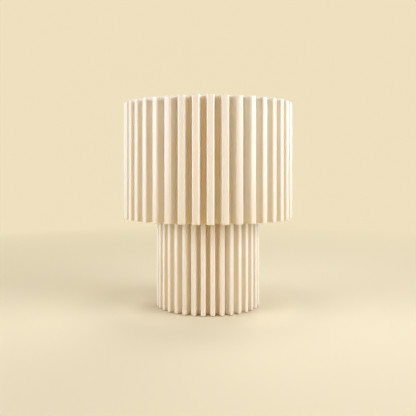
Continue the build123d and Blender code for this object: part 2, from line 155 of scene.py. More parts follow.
class FinishSettings(PropertyGroup):
    """Colours of the finishes"""

    ivory: colour("Ivory", "Plastic of shade and base", (0.88, 0.83, 0.72))
    holder: colour("Holder", "Plastic of the lampholder", (0.86, 0.85, 0.81))
    carrier: colour("Carrier", "Powder coat of the shade carrier", (0.84, 0.82, 0.76))
    plate: colour("Plate", "Powder coat of the bottom plate", (0.025, 0.025, 0.026))
    rubber: colour("Rubber", "Feet and grommet", (0.022, 0.022, 0.022))
    zinc: colour("Zinc", "Plating of the screws", (0.62, 0.63, 0.64))
    iron: colour("Iron", "Casting of the weight", (0.05, 0.05, 0.053))
    ceramic: colour("Ceramic", "Disc that carries the contacts", (0.84, 0.8, 0.71))
    brass: colour("Brass", "Screw shell and centre contact", (0.75, 0.52, 0.2))
    globe: colour("Globe", "Opal of the bulb", (0.9, 0.89, 0.86))
    housing: colour("Housing", "Plastic of the bulb", (0.86, 0.86, 0.84))
    nickel: colour("Nickel", "Screw cap of the bulb", (0.72, 0.69, 0.63))
    glass: colour("Glass", "Insulator of the bulb", (0.012, 0.012, 0.014))
    solder: colour("Solder", "End contact of the bulb", (0.5, 0.5, 0.49))
    mask: colour("Mask", "Plate of chips in the bulb", (0.84, 0.84, 0.81))
    board: colour("Board", "Driver board in the bulb", (0.02, 0.12, 0.04))


class StageSettings(PropertyGroup):
    """Camera, floor and lights"""

    distance: length("Camera distance", "From the axis of the lamp to the lens", 0.681)
    height: length("Camera height", "Of the lens above the floor", 0.1638)
    lens: FloatProperty(name="Lens", description="Focal length in millimetres", default=49.04, min=1.0)
    shift: FloatProperty(
        name="Shift", description="Rise of the lens, as a share of the frame", default=-0.0976
    )
    floor: colour("Floor", "Colour of the floor and backdrop as the camera sees them", (0.86, 0.75, 0.52))
    backdrop: FloatProperty(
        name="Backdrop", description="Level of the far floor and wall", default=1.0, min=0.0
    )
    bounce: colour("Bounce", "Colour that the floor throws on the lamp", (0.68, 0.49, 0.18))
    key_power: power("Key power", "Softbox on the right", 6.15)
    fill_power: power("Fill power", "Softbox on the left", 5.15)
    side_tint: colour("Side tint", "Colour of the softboxes on both sides", (0.74, 0.84, 1.0))
    rear_power: power("Rear power", "Softbox behind the lamp", 7.2)
    top_power: power("Top power", "Softbox over the lamp", 3.8)
    rear_tint: colour("Rear tint", "Colour of the softboxes behind and over the lamp", (0.94, 0.96, 1.0))
    front_power: power("Front power", "Weak light from the front", 1.05)
    front_tint: colour("Front tint", "Colour of the light from the front", (1.0, 0.42, 0.04))
    sky: FloatProperty(name="Sky", description="Strength of the light from all round", default=0.12, min=0.0)
    sky_tint: colour("Sky tint", "Colour of the light from all round", (1.0, 0.86, 0.45))


class LampSettings(PropertyGroup):
    """All the settings of the lamp"""

    shade: PointerProperty(type=ShadeSettings)
    base: PointerProperty(type=BaseSettings)
    finish: PointerProperty(type=FinishSettings)
    stage: PointerProperty(type=StageSettings)


# Outlines


def round_corner(before, corner, after, size, steps):
    """Points of the arc that rounds one corner of a line, or the corner itself where it has no round."""
    into = (corner - before).normalized()
    out = (after - corner).normalized()
    bend = -into.angle_signed(out)
    if size < SAME_PLACE or abs(bend) < SAME_PLACE:
        return [corner.copy()]
    start = corner - into * size * tan(abs(bend) / 2)
    left = Vector((-into.y, into.x))
    centre = start + left * (size if bend > 0 else -size)
    return [centre + Matrix.Rotation(bend * i / steps, 2) @ (start - centre) for i in range(steps + 1)]


def rounded_line(corners, rounds, steps=EDGE_STEPS):
    """Closed line through corners, each with its own round."""
    corners = [Vector(corner) for corner in corners]
    count = len(corners)
    points = []
    for i in range(count):
        points += round_corner(corners[i - 1], corners[i], corners[(i + 1) % count], rounds[i], steps)
    return points


def ribbed_line(shape, inset=0.0):
    """Closed line round straight-sided ribs, drawn in by inset, with as many points for any inset."""
    half_pitch = pi / shape.ribs
    to_groove = Vector((sin(half_pitch), cos(half_pitch)))
    along_groove = Vector((cos(half_pitch), -sin(half_pitch)))
    floor = shape.radius - shape.depth
    crest_corner = Vector((shape.crest_width / 2, shape.radius))
    groove_corner = to_groove * floor - along_groove * (shape.groove_width / 2)
    flank = (groove_corner - crest_corner).normalized()
    on_flank = crest_corner + Vector((flank.y, -flank.x)) * inset
    crest = on_flank + flank * ((shape.radius - inset - on_flank.y) / flank.y)
    to_floor = floor - inset - on_flank.dot(to_groove)
    groove = on_flank + flank * (to_floor / flank.dot(to_groove))

    one_rib = (groove, crest, Vector((-crest.x, crest.y)), Vector((-groove.x, groove.y)))
    crest_in = max(shape.crest_round - inset, TIGHTEST_ROUND)
    groove_in = shape.groove_round + inset
    corners = []
    for rib in range(shape.ribs):
        direction = FRONT + shape.turn + 2 * pi * rib / shape.ribs
        turn = Matrix.Rotation(direction - pi / 2, 2)
        corners += [turn @ corner for corner in one_rib]
    return rounded_line(corners, (groove_in, crest_in, crest_in, groove_in) * shape.ribs, ARC_STEPS)


# Meshes


def lift(line, height):
    """A flat line at a height."""
    return [Vector((point.x, point.y, height)) for point in line]


def ring(radius, height, steps=TURN_STEPS):
    """A level circle."""
    angles = [2 * pi * i / steps for i in range(steps)]
    return [Vector((radius * cos(angle), radius * sin(angle), height)) for angle in angles]


def ring_beside(line, radius, height):
    """A level circle with one point beside each point of a line."""
    points = []
    for point in line:
        angle = atan2(point.y, point.x)
        points.append(Vector((radius * cos(angle), radius * sin(angle), height)))
    return points


def skin(bm, rows, place=None, closed=True):
    """Adds a skin of quads through rows of as many points. A closed one joins the last row to the first."""
    place = place or Matrix.Identity(4)
    rows = [[bm.verts.new(place @ point) for point in row] for row in rows]
    count = len(rows[0])
    following = rows[1:] + rows[:1] if closed else rows[1:]
    for row, after in zip(rows, following):
        for i in range(count):
            j = (i + 1) % count
            bm.faces.new((row[i], row[j], after[j], after[i]))


def lathe(bm, corners, rounds, place=None):
    """Adds a solid of revolution from a closed outline of (radius, height) corners."""
    skin(bm, [ring(max(point.x, 0.0), point.y) for point in rounded_line(corners, rounds)], place)


def wave(radius, depth, pitch, height, angle):
    """Radius of a rounded right-hand thread at a height and an angle."""
    return radius - depth * (0.5 - 0.5 * cos(2 * pi * height / pitch - angle))


def thread_rows(radius, depth, pitch, low, high, per_pitch=8):
    """Rows of a thread between two heights, run out at both ends."""
    count = max(2, round((high - low) / pitch * per_pitch))
    rows = []
    for i in range(count + 1):
        height = low + (high - low) * i / count
        run_out = min(1.0, (height - low) / pitch, (high - height) / pitch)
        row = []
        for j in range(TURN_STEPS):
            angle = 2 * pi * j / TURN_STEPS
            here = wave(radius, depth * run_out, pitch, height, angle)
            row.append(Vector((here * cos(angle), here * sin(angle), height)))
        rows.append(row)
    return rows


def soften(bm, edges, width, steps=2):
    """Rounds edges of a mesh."""
    bmesh.ops.bevel(
        bm, geom=edges, offset=width, offset_type="OFFSET", segments=steps, profile=0.5, affect="EDGES",
        clamp_overlap=True,
    )


def prism(bm, side, width, edge, place):
    """Adds a solid of one side outline in x and z, extruded along y to both sides, with soft edges."""
    part = bmesh.new()
    near = [part.verts.new((x, -width / 2, z)) for x, z in side]
    far = [part.verts.new((x, width / 2, z)) for x, z in side]
    part.faces.new(near)
    part.faces.new(far[::-1])
    for i in range(len(side)):
        j = (i + 1) % len(side)
        part.faces.new((near[j], near[i], far[i], far[j]))
    soften(part, part.edges[:], edge, PRISM_STEPS)
    add_mesh(bm, part, place)


def add_mesh(bm, part, place=None):
    """Moves one bmesh into another, at a place."""
    mesh = bpy.data.meshes.new("part")
    part.to_mesh(mesh)
    part.free()
    mesh.transform(place or Matrix.Identity(4))
    bm.from_mesh(mesh)
    bpy.data.meshes.remove(mesh)


def to_object(name, bm):
    """Makes an object of a bmesh, smooth but for its sharp edges."""
    bmesh.ops.remove_doubles(bm, verts=bm.verts[:], dist=SAME_PLACE)
    bmesh.ops.delete(bm, geom=[edge for edge in bm.edges if edge.is_wire], context="EDGES")
    bmesh.ops.recalc_face_normals(bm, faces=bm.faces[:])
    mesh = bpy.data.meshes.new(name)
    bm.to_mesh(mesh)
    bm.free()
    obj = bpy.data.objects.new(name, mesh)
    bpy.context.scene.collection.objects.link(obj)
    smooth(obj)
    return obj


def take_mesh(obj):
    """The mesh of an object as a bmesh, in place of the object."""
    mesh = obj.data
    bm = bmesh.new()
    bm.from_mesh(mesh)
    bpy.data.objects.remove(obj)
    bpy.data.meshes.remove(mesh)
    return bm


def smooth(obj):
    """Gives an object smooth shading, broken at sharp edges."""
    obj.data.shade_smooth()
    obj.data.set_sharp_from_angle(angle=SHARP_ANGLE)


def cut(obj, cutter):
    """Takes one object out of another for good."""
    modifier = obj.modifiers.new("cut", "BOOLEAN")
    modifier.operation = "DIFFERENCE"
    modifier.solver = "EXACT"
    modifier.object = cutter
    evaluated = obj.evaluated_get(bpy.context.evaluated_depsgraph_get())
    mesh = bpy.data.meshes.new_from_object(evaluated)
    obj.modifiers.remove(modifier)
    old = obj.data
    obj.data = mesh
    bpy.data.meshes.remove(old)
    mesh.name = obj.name
    bpy.data.objects.remove(cutter)
    smooth(obj)


def dress(obj, node, material):
    """Lets a piece stand for a part: its body and its finish."""
    obj.data.materials.clear()
    obj.data.materials.append(material)
    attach(obj, NODE_BODY[node])
    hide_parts(node)
    return obj


def paint(node, material):
    """Gives a part that is shown as it is its finish."""
    for slot in frame["nodes"][node].material_slots:
        slot.material = material


def node_mesh(node):
    """A part's mesh with its flat faces whole."""
    bm = bmesh.new()
    bm.from_mesh(frame["nodes"][node].data)
    bmesh.ops.remove_doubles(bm, verts=bm.verts[:], dist=SAME_PLACE)
    bmesh.ops.dissolve_limit(bm, angle_limit=FLAT_ANGLE, verts=bm.verts[:], edges=bm.edges[:])
    return bm


def softened(name, node, width):
    """A part with its sharp edges broken."""
    bm = node_mesh(node)
    sharp = [edge for edge in bm.edges if edge.is_manifold and edge.calc_face_angle() > SHARP_ANGLE]
    soften(bm, sharp, width)
    return to_object(name, bm)


def solids(node):
    """Lowest and highest corner of each separate solid of a part."""
    bm = bmesh.new()
    bm.from_mesh(frame["nodes"][node].data)
    bmesh.ops.remove_doubles(bm, verts=bm.verts[:], dist=SAME_PLACE)
    left = set(bm.verts)
    boxes = []
    while left:
        reached = [left.pop()]
        found = []
        while reached:
            vert = reached.pop()
            found.append(vert.co.copy())
            for edge in vert.link_edges:
                other = edge.other_vert(vert)
                if other in left:
                    left.remove(other)
                    reached.append(other)
        low = Vector(min(co[i] for co in found) for i in range(3))
        high = Vector(max(co[i] for co in found) for i in range(3))
        boxes.append((low, high))
    bm.free()
    return boxes


# Finishes

# The mix node has an A, a B and a Result for each kind of data, so those for colours go by number
MIX_FIRST_COLOUR = 6
MIX_SECOND_COLOUR = 7
MIX_COLOUR_RESULT = 2

# How much smoother and rougher the specks of a moulded plastic are
SPECK_SMOOTHER = 0.05
SPECK_ROUGHER = 0.06


class Finish:
    """A procedural material under construction, with its principled shader."""

    def __init__(self, name, tint, roughness, metallic=0.0):
        self.material = bpy.data.materials.new(name)
        self.material.use_nodes = True
        self.tree = self.material.node_tree
        self.shader = self.tree.nodes["Principled BSDF"]
        self.tint = tuple(tint)
        self.shader.inputs["Base Color"].default_value = (*self.tint, 1.0)
        self.shader.inputs["Roughness"].default_value = roughness
        self.shader.inputs["Metallic"].default_value = metallic
        self.coords = self.tree.nodes.new("ShaderNodeTexCoord").outputs["Object"]
        self.height = None

    def node(self, kind, inputs=None, **settings):
        """A new node with its settings and inputs."""
        node = self.tree.nodes.new(kind)
        for key, value in settings.items():
            setattr(node, key, value)
        for key, value in (inputs or {}).items():
            if isinstance(value, bpy.types.NodeSocket):
                self.tree.links.new(value, node.inputs[key])
            else:
                node.inputs[key].default_value = value
        return node

    def stretch(self, scale):
        """The object's coordinates with one scale per axis."""
        return self.node("ShaderNodeMapping", {"Vector": self.coords, "Scale": scale}).outputs["Vector"]

    def noise(self, scale, detail=3.0, vector=None):
        """Soft noise, scale features to the metre."""
        inputs = {"Vector": vector or self.coords, "Scale": scale, "Detail": detail}
        return self.node("ShaderNodeTexNoise", inputs).outputs["Fac"]

    def levels(self, value, low, high, start=0.3, end=0.7):
        """A value spread between two levels."""
        inputs = {"Value": value, "From Min": start, "From Max": end, "To Min": low, "To Max": high}
        return self.node("ShaderNodeMapRange", inputs).outputs["Result"]

    def mix_tint(self, value, low, high):
        """Colour that moves between two tints."""
        mix = self.node("ShaderNodeMix", {"Factor": value}, data_type="RGBA")
        mix.inputs[MIX_FIRST_COLOUR].default_value = (*low, 1.0)
        mix.inputs[MIX_SECOND_COLOUR].default_value = (*high, 1.0)
        self.tree.links.new(mix.outputs[MIX_COLOUR_RESULT], self.shader.inputs["Base Color"])

    def vary_tint(self, value, dark, light=1.0):
        """Colour that moves between two shares of the tint."""
        low = [dark * part for part in self.tint]
        high = [min(1.0, light * part) for part in self.tint]
        self.mix_tint(value, low, high)

    def vary_roughness(self, value, low, high):
        """Roughness that moves between two levels."""
        self.tree.links.new(self.levels(value, low, high), self.shader.inputs["Roughness"])

    def bump(self, value, depth, strength=1.0):
        """Relief of a depth in metres, on top of any relief before it."""
        inputs = {"Height": value, "Distance": depth, "Strength": strength}
        if self.height:
            inputs["Normal"] = self.height
        self.height = self.node("ShaderNodeBump", inputs).outputs["Normal"]
        self.tree.links.new(self.height, self.shader.inputs["Normal"])

    def set(self, **sockets):
        """Other values of the shader, by socket name with spaces as underscores."""
        for name, value in sockets.items():
            self.shader.inputs[name.replace("_", " ")].default_value = value
        return self


FINISHES = {}


def finish(maker):
    """Keeps one material for each maker of a finish."""

    def get():
        if maker.__name__ not in FINISHES:
            FINISHES[maker.__name__] = maker(bpy.context.scene.ribbed_lamp.finish).material
        return FINISHES[maker.__name__]

    return get


@finish
def ivory_plastic(tints):
    """Satin plastic laid down in fine level layers, slightly translucent."""
    look = Finish("ivory_plastic", tints.ivory, roughness=0.3)
    layers = look.noise(scale=120.0, detail=4.0, vector=look.stretch((0.02, 0.02, 14.0)))
    clouds = look.noise(scale=35.0)
    grain = look.noise(scale=1400.0, detail=2.0)
    look.vary_tint(clouds, dark=0.975, light=1.015)
    look.vary_roughness(grain, low=0.27, high=0.36)
    look.bump(layers, depth=0.00004, strength=0.5)
    look.bump(grain, depth=0.00003, strength=0.4)
    return look.set(Subsurface_Weight=0.12, Subsurface_Radius=(1.0, 0.55, 0.25), Subsurface_Scale=0.004)


def moulded(name, tint, rough, relief):
    """Satin moulded plastic, rougher and smoother in specks."""
    look = Finish(name, tint, roughness=rough)
    speck = look.noise(scale=800.0, detail=2.0)
    look.vary_tint(look.noise(scale=65.0), dark=0.97, light=1.01)
    look.vary_roughness(speck, low=rough - SPECK_SMOOTHER, high=rough + SPECK_ROUGHER)
    look.bump(speck, depth=relief, strength=0.45)
    return look


@finish
def moulded_holder(tints):
    """Thermoplastic of the lampholder."""
    return moulded("moulded_holder", tints.holder, rough=0.35, relief=0.00002)


@finish
def bulb_housing_plastic(tints):
    """Plastic of the bulb's housing."""
    return moulded("bulb_housing_plastic", tints.housing, rough=0.32, relief=0.000015)


def powder_coat(name, tint):
    """Baked powder paint with its orange-peel skin."""
    look = Finish(name, tint, roughness=0.45)
    look.vary_tint(look.noise(scale=80.0), dark=0.94, light=1.03)
    look.vary_roughness(look.noise(scale=300.0), low=0.38, high=0.5)
    look.bump(look.noise(scale=900.0, detail=1.0), depth=0.00006, strength=0.7)
    return look


@finish
def white_powder(tints):
    """Coat of the shade carrier."""
    return powder_coat("white_powder", tints.carrier)


@finish
def black_powder(tints):
    """Coat of the bottom plate."""
    return powder_coat("black_powder", tints.plate)


def worked_metal(name, tint, low, high, streak=(1.0, 1.0, 1.0)):
    """Metal with fine streaks from its working."""
    look = Finish(name, tint, roughness=low, metallic=1.0)
    lines = look.noise(scale=500.0, vector=look.stretch(streak))
    look.vary_tint(look.noise(scale=150.0), dark=0.9, light=1.03)
    look.vary_roughness(lines, low, high)
    look.bump(lines, depth=0.00002, strength=0.35)
    return look


@finish
def zinc_plate(tints):
    """Zinc plated screws."""
    return worked_metal("zinc_plate", tints.zinc, low=0.25, high=0.42)


@finish
def nickel_plate(tints):
    """Bright screw cap of the bulb."""
    return worked_metal("nickel_plate", tints.nickel, low=0.18, high=0.34, streak=(0.2, 0.2, 4.0))


@finish
def brass_sheet(tints):
    """Bright rolled brass."""
    return worked_metal("brass_sheet", tints.brass, low=0.22, high=0.4, streak=(0.3, 0.3, 3.0))


@finish
def solder(tints):
    """Dull soldered contact."""
    return worked_metal("solder", tints.solder, low=0.35, high=0.55)


@finish
def black_rubber(tints):
    """Matt rubber with a dusty bloom."""
    look = Finish("black_rubber", tints.rubber, roughness=0.8)
    bloom = look.noise(scale=220.0, detail=4.0)
    look.vary_tint(bloom, dark=0.8, light=1.5)
    look.vary_roughness(bloom, low=0.7, high=0.9)
    look.bump(look.noise(scale=1600.0, detail=2.0), depth=0.00005, strength=0.6)
    return look


@finish
def cast_weight(tints):
    """Rough grey casting."""
    look = Finish("cast_weight", tints.iron, roughness=0.7, metallic=0.6)
    grit = look.noise(scale=900.0, detail=5.0)
    look.vary_tint(look.noise(scale=120.0, detail=5.0), dark=0.7, light=1.4)
    look.vary_roughness(grit, low=0.55, high=0.85)
    look.bump(grit, depth=0.0002, strength=0.8)
    return look


@finish
def steatite(tints):
    """Fired ceramic of the contact carrier."""
    look = Finish("steatite", tints.ceramic, roughness=0.55)
    look.vary_tint(look.noise(scale=260.0, detail=4.0), dark=0.93, light=1.02)
    look.bump(look.noise(scale=1200.0), depth=0.00004, strength=0.5)
    return look


@finish
def opal_globe(tints):
    """Opal skin of the bulb."""
    look = Finish("opal_globe", tints.globe, roughness=0.38)
    look.vary_tint(look.noise(scale=90.0, detail=2.0), dark=0.98, light=1.01)
    look.vary_roughness(look.noise(scale=800.0, detail=2.0), low=0.34, high=0.42)
    return look.set(Subsurface_Weight=0.35, Subsurface_Radius=(1.0, 0.95, 0.85), Subsurface_Scale=0.004)


@finish
def black_glass(tints):
    """Pressed black glass under the screw cap."""
    look = Finish("black_glass", tints.glass, roughness=0.12)
    ripple = look.noise(scale=350.0, detail=2.0)
    look.vary_tint(ripple, dark=0.8, light=1.3)
    look.vary_roughness(ripple, low=0.08, high=0.2)
    look.bump(ripple, depth=0.00008, strength=0.4)
    return look


def masked_board(name, tint, dark, light):
    """Solder mask over a board."""
    look = Finish(name, tint, roughness=0.4)
    look.vary_tint(look.noise(scale=450.0, detail=4.0), dark, light)
    look.bump(look.noise(scale=1500.0), depth=0.00003, strength=0.5)
    return look


@finish
def white_mask(tints):
    """White plate of chips."""
    return masked_board("white_mask", tints.mask, dark=0.96, light=1.01)


@finish
def green_mask(tints):
    """Green circuit board."""
    return masked_board("green_mask", tints.board, dark=0.75, light=1.25)


# Pieces

# Clearance between pieces, and widths of their broken edges
FIT = 0.0001
FINE_EDGE = 0.0003
SHEET_EDGE = 0.0004
CAST_EDGE = 0.0005

LUG_WIDTH = 0.012
LUG_TIP = 0.010
LUG_ROOT = 0.020
LUG_EDGE = 0.0008
LUG_REACH = 0.017
ARM_END_GAP = 0.001

GROMMET_LIP = 0.0022
GROMMET_WAIST = 0.0050
GROMMET_CORNER = 0.0003
GROMMET_INNER_ROUND = 0.0009
GROMMET_OUTER_ROUND = 0.0012

# Height of the head and radius of the shank of each kind of screw
SCREWS = {
    "carrier_screws": (0.0024, 0.0020),
    "base_plate_screws": (0.0018, 0.00175),
    "ballast_screws": (0.0020, 0.0025),
    "terminal_screws": (0.0020, 0.0015),
}

# Shares of a screw: of the head's height, of the head's radius and of the shank's radius
HEAD_ROUND = 0.6
HEAD_EDGE = 0.15
RECESS_DEPTH = 0.55
SHANK_START = 0.9
RECESS_REACH = 0.55
RECESS_FLOOR = 0.33
RECESS_WIDTH = 0.22
RECESS_EDGE = 0.03
THREAD_DEPTH = 0.3
THREAD_PITCH = 0.6

FOOT_CUP = 0.0004
FOOT_CUP_ROUND = 0.002
FOOT_CUP_FLOOR = 0.60
FOOT_CUP_RIM = 0.72
FOOT_EDGE = 0.0007
FOOT_TOP_EDGE = 0.0002

HOLDER_PITCH = 0.0022
HOLDER_THREAD = 0.0007
HOLDER_MOUTH = 0.0035
HOLDER_EDGE = 0.0009
SHELL_SHEET = 0.0005
SHELL_THREAD = 0.00035

CAP_PITCH = 0.003629
CAP_THREAD = 0.0010
CAP_SHEET = 0.0004
CAP_LIP = 0.0040
CAP_SKIRT = 0.0040
CAP_TURN_IN = 0.0012
CAP_START = 0.0008
GLOBE_WALL = 0.0012
GLOBE_STEPS = 40
HOUSING_NECK = 0.0137
HOUSING_WALL = 0.0016
HOUSING_COLLAR = 0.0025
HOUSING_BAND = 0.0020
HOUSING_ROUND = 0.0040
HOUSING_EDGE = 0.0004
HOUSING_LEDGE = 0.0020


def frame_radius(node):
    """Half the width of a part that is round about the axis of the lamp."""
    low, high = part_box(node)
    return (high.x - low.x) / 2


def build_shade(shape):
    """Corrugated wall with rounded rims, and the lugs inside that sit on the carrier."""
    low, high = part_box("shade_shell")
    corners = ((0, low.z), (shape.wall, low.z), (shape.wall, high.z), (0, high.z))
    section = rounded_line(corners, [shape.rim_round] * len(corners))
    bm = bmesh.new()
    skin(bm, [lift(ribbed_line(shape, inset), height) for inset, height in section])
    add_lugs(bm, shape)
    return to_object("shade_drum", bm)


def add_lugs(bm, shape):
    """Adds the lug over each arm of the carrier."""
    inner = shape.radius - shape.depth - shape.wall
    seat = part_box("shade_carrier")[1].z
    tip = inner - ARM_END_GAP - LUG_REACH
    root = inner + shape.wall / 2
    side = ((tip, seat), (root, seat), (root, seat + LUG_ROOT), (tip, seat + LUG_TIP))
    for low, high in solids("carrier_screws"):
        angle = atan2(low.y + high.y, low.x + high.x)
        prism(bm, side, LUG_WIDTH, LUG_EDGE, Matrix.Rotation(angle, 4, "Z"))


def build_base(shape):
    """Ribbed drum with rounded rib ends, its deck and keyed collar, the cord inlet and the bosses inside."""
    low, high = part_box("base_shell")
    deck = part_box("shade_carrier")[0].z
    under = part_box("lower_clamp_ring")[1].z
    rim = shape.rim_round
    bore = shape.radius - shape.depth - shape.wall
    collar_inner = frame_radius("upper_clamp_ring") + shape.collar_gap
    collar_outer = collar_inner + shape.collar_wall
    hole = frame_radius("lampholder_body") + shape.hole_clearance
    to_bore = bore - shape.radius
    outer = rounded_line(((to_bore, low.z), (0, low.z), (0, deck), (to_bore, deck)), (0, rim, rim, 0))[1:-1]
    inner = rounded_line(
        (
            (shape.radius, deck),
            (collar_outer, deck),
            (collar_outer, high.z),
            (collar_inner, high.z),
            (collar_inner, deck),
            (hole, deck),
            (hole, under),
            (bore, under),
            (bore, low.z),
        ),
        (0, rim, rim, rim, rim, rim, 0, shape.deck_round, 0),
    )[1:]
    line = ribbed_line(shape)
    rows = [lift(ribbed_line(shape, -inset), height) for inset, height in outer]
    rows += [ring_beside(line, distance, height) for distance, height in inner]
    bm = bmesh.new()
    skin(bm, rows)
    blank = to_object("drum_blank", bm)
    cut_inlet(blank, shape.spot_face / 2)

    bm = take_mesh(blank)
    key_root = collar_outer - shape.collar_wall / 2
    key_tip = collar_outer + shape.key_depth
    side = ((key_root, deck), (key_tip, deck), (key_tip, high.z), (key_root, high.z))
    prism(bm, side, shape.key_width, rim, Matrix.Rotation(REAR, 4, "Z"))
    add_bosses(bm, shape)
    add_pad(bm, shape, bore + shape.wall / 2)
    return to_object("base_drum", bm)


def inlet_place(depth):
    """A place on the axis of the cord inlet, at a distance from the axis of the lamp, with +Z to the rear."""
    low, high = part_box("cord_grommet")
    return Matrix.Translation((0, depth, (low.z + high.z) / 2)) @ Matrix.Rotation(-pi / 2, 4, "X")


def cut_inlet(drum, flat):
    """Sinks the flat round the cord inlet into the ribs and opens its hole."""
    low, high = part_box("cord_grommet")
    reach = frame_radius("base_shell")
    for size, start in ((flat, high.y - GROMMET_LIP), (GROMMET_WAIST + FIT, low.y)):
        bm = bmesh.new()
        lathe(bm, ((0, 0), (size, 0), (size, reach), (0, reach)), (0, 0, 0, 0), inlet_place(start))
        cut(drum, to_object("cutter", bm))


def add_bosses(bm, shape):
    """Adds the tubes that take the screws of the bottom plate."""
    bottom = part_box("base_plate")[1].z
    top = bottom + shape.boss_length
    radius = shape.boss_width / 2
    hole = SCREWS["base_plate_screws"][1] + FIT
    rim = shape.rim_round
    for low, high in solids("base_plate_screws"):
        end = high.z + FIT
        corners = ((hole, bottom), (radius, bottom), (radius, top), (0, top), (0, end), (hole, end))
        middle = (low + high) / 2
        lathe(bm, corners, (0, 0, rim, 0, 0, 0), Matrix.Translation((middle.x, middle.y, 0)))


def add_pad(bm, shape, outside):
    """Adds the thick place in the wall that the grommet grips."""
    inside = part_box("cord_grommet")[0].y + GROMMET_LIP
    hole = GROMMET_WAIST + FIT
    radius = shape.pad / 2
    depth = outside - inside
    corners = ((hole, 0), (radius, 0), (radius, depth), (hole, depth))
    lathe(bm, corners, (0, shape.rim_round, 0, 0), inlet_place(inside))


def build_grommet():
    """Rubber bush with a rounded flange on each side of the wall."""
    low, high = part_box("cord_grommet")
    depth = high.y - low.y
    flange = (high.x - low.x) / 2
    mounts = {mount["name"]: mount for mount in frame["record"]["mounts"]}
    bore = mounts["cord_inlet"]["dims"]["r_mm"] / MM_PER_METRE
    inner = GROMMET_INNER_ROUND
    outer = GROMMET_OUTER_ROUND
    corner = GROMMET_CORNER
    bm = bmesh.new()
    lathe(
        bm,
        (
            (bore, 0),
            (flange, 0),
            (flange, GROMMET_LIP),
            (GROMMET_WAIST, GROMMET_LIP),
            (GROMMET_WAIST, depth - GROMMET_LIP),
            (flange, depth - GROMMET_LIP),
            (flange, depth),
            (bore, depth),
        ),
        (inner, inner, corner, 0, 0, corner, outer, outer),
        inlet_place(low.y),
    )
    return to_object("cord_bush", bm)


def build_screws(node):
    """Pan-head screws with a cross recess, driven up from below."""
    boxes = solids(node)
    low, high = boxes[0]
    head = (high.x - low.x) / 2
    neck, shank = SCREWS[node]
    bm = bmesh.new()
    lathe(bm, ((0, 0), (head, 0), (head, neck), (0, neck)), (0, neck * HEAD_ROUND, neck * HEAD_EDGE, 0))
    blank = to_object("head_blank", bm)
    mouth = head * RECESS_REACH
    floor = head * RECESS_FLOOR
    deep = neck * RECESS_DEPTH
    side = ((-mouth, -neck), (mouth, -neck), (floor, deep), (-floor, deep))
    for turn in (0, pi / 2):
        bm = bmesh.new()
        prism(bm, side, head * RECESS_WIDTH, head * RECESS_EDGE, Matrix.Rotation(turn, 4, "Z"))
        cut(blank, to_object("cutter", bm))
    start = neck * SHANK_START
    end = high.z - low.z
    rows = thread_rows(shank, shank * THREAD_DEPTH, shank * THREAD_PITCH, start, end)
    bm = take_mesh(blank)
    skin(bm, [ring(0, start)] + rows + [ring(0, end)])
    return spread(node, bm, boxes)


def spread(node, bm, boxes):
    """The same mesh under each solid of a part, as one object."""
    mesh = bpy.data.meshes.new("one")
    bm.to_mesh(mesh)
    bm.free()
    whole = bmesh.new()
    for low, high in boxes:
        copy = mesh.copy()
        copy.transform(Matrix.Translation(((low.x + high.x) / 2, (low.y + high.y) / 2, low.z)))
        whole.from_mesh(copy)
        bpy.data.meshes.remove(copy)
    bpy.data.meshes.remove(mesh)
    return to_object(node + "_turned", whole)


def build_feet():
    """Rubber pads with a soft lower edge and a shallow cup underneath."""
    boxes = solids("rubber_feet")
    low, high = boxes[0]
    radius = (high.x - low.x) / 2
    tall = high.z - low.z
    bm = bmesh.new()
    lathe(
        bm,
        (
            (0, FOOT_CUP),
            (radius * FOOT_CUP_FLOOR, FOOT_CUP),
            (radius * FOOT_CUP_RIM, 0),
            (radius, 0),
            (radius, tall),
            (0, tall),
        ),
        (0, FOOT_CUP_ROUND, FOOT_EDGE, FOOT_EDGE, FOOT_TOP_EDGE, 0),
    )
    return spread("rubber_feet", bm, boxes)


def build_holder():
    """Threaded sleeve of the lampholder with a plain rounded mouth."""
    low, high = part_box("lampholder_body")
    radius = frame_radius("lampholder_body")
    bore = frame_radius("screw_shell") + FIT
    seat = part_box("contact_carrier")[1].z
    wide = frame_radius("contact_carrier") + FIT
    outer = thread_rows(radius, HOLDER_THREAD, HOLDER_PITCH, low.z, high.z - HOLDER_MOUTH)
    inner = rounded_line(
        ((wide, low.z), (radius, low.z), (radius, high.z), (bore, high.z), (bore, seat), (wide, seat)),
        (0, 0, HOLDER_EDGE, HOLDER_EDGE, 0, 0),
    )
    top = [ring(point.x, point.y) for point in inner if point.y > seat - SAME_PLACE]
    bm = bmesh.new()
    skin(bm, [ring(wide, low.z)] + outer + top)
    return to_object("lampholder_sleeve", bm)


def build_screw_shell():
    """Brass sleeve with the rounded screw form rolled into it."""
    low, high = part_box("screw_shell")
    outer = frame_radius("screw_shell")
    rows = thread_rows(outer - SHELL_SHEET, -SHELL_THREAD, CAP_PITCH, low.z, high.z)
    bm = bmesh.new()
    skin(bm, [ring(outer, high.z), ring(outer, low.z)] + rows)
    return to_object("screw_sleeve", bm)


def build_bulb_cap():
    """Rolled screw cap of the bulb, with a plain skirt above the thread."""
    low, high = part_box("bulb_screw_cap")
    radius = frame_radius("bulb_screw_cap")
    core = radius - CAP_THREAD - CAP_SHEET
    lip = radius - CAP_LIP
    thread = thread_rows(radius, CAP_THREAD, CAP_PITCH, low.z + CAP_START, high.z - CAP_SKIRT)
    below = [ring(lip, low.z), ring(radius - CAP_TURN_IN, low.z)]
    above = [ring(radius, high.z), ring(radius - CAP_SHEET, high.z), ring(core, high.z - CAP_SKIRT)]
    inside = [ring(core, low.z + CAP_SHEET), ring(lip, low.z + CAP_SHEET)]
    bm = bmesh.new()
    skin(bm, below + thread + above + inside)
    return to_object("bulb_thread_cap", bm)


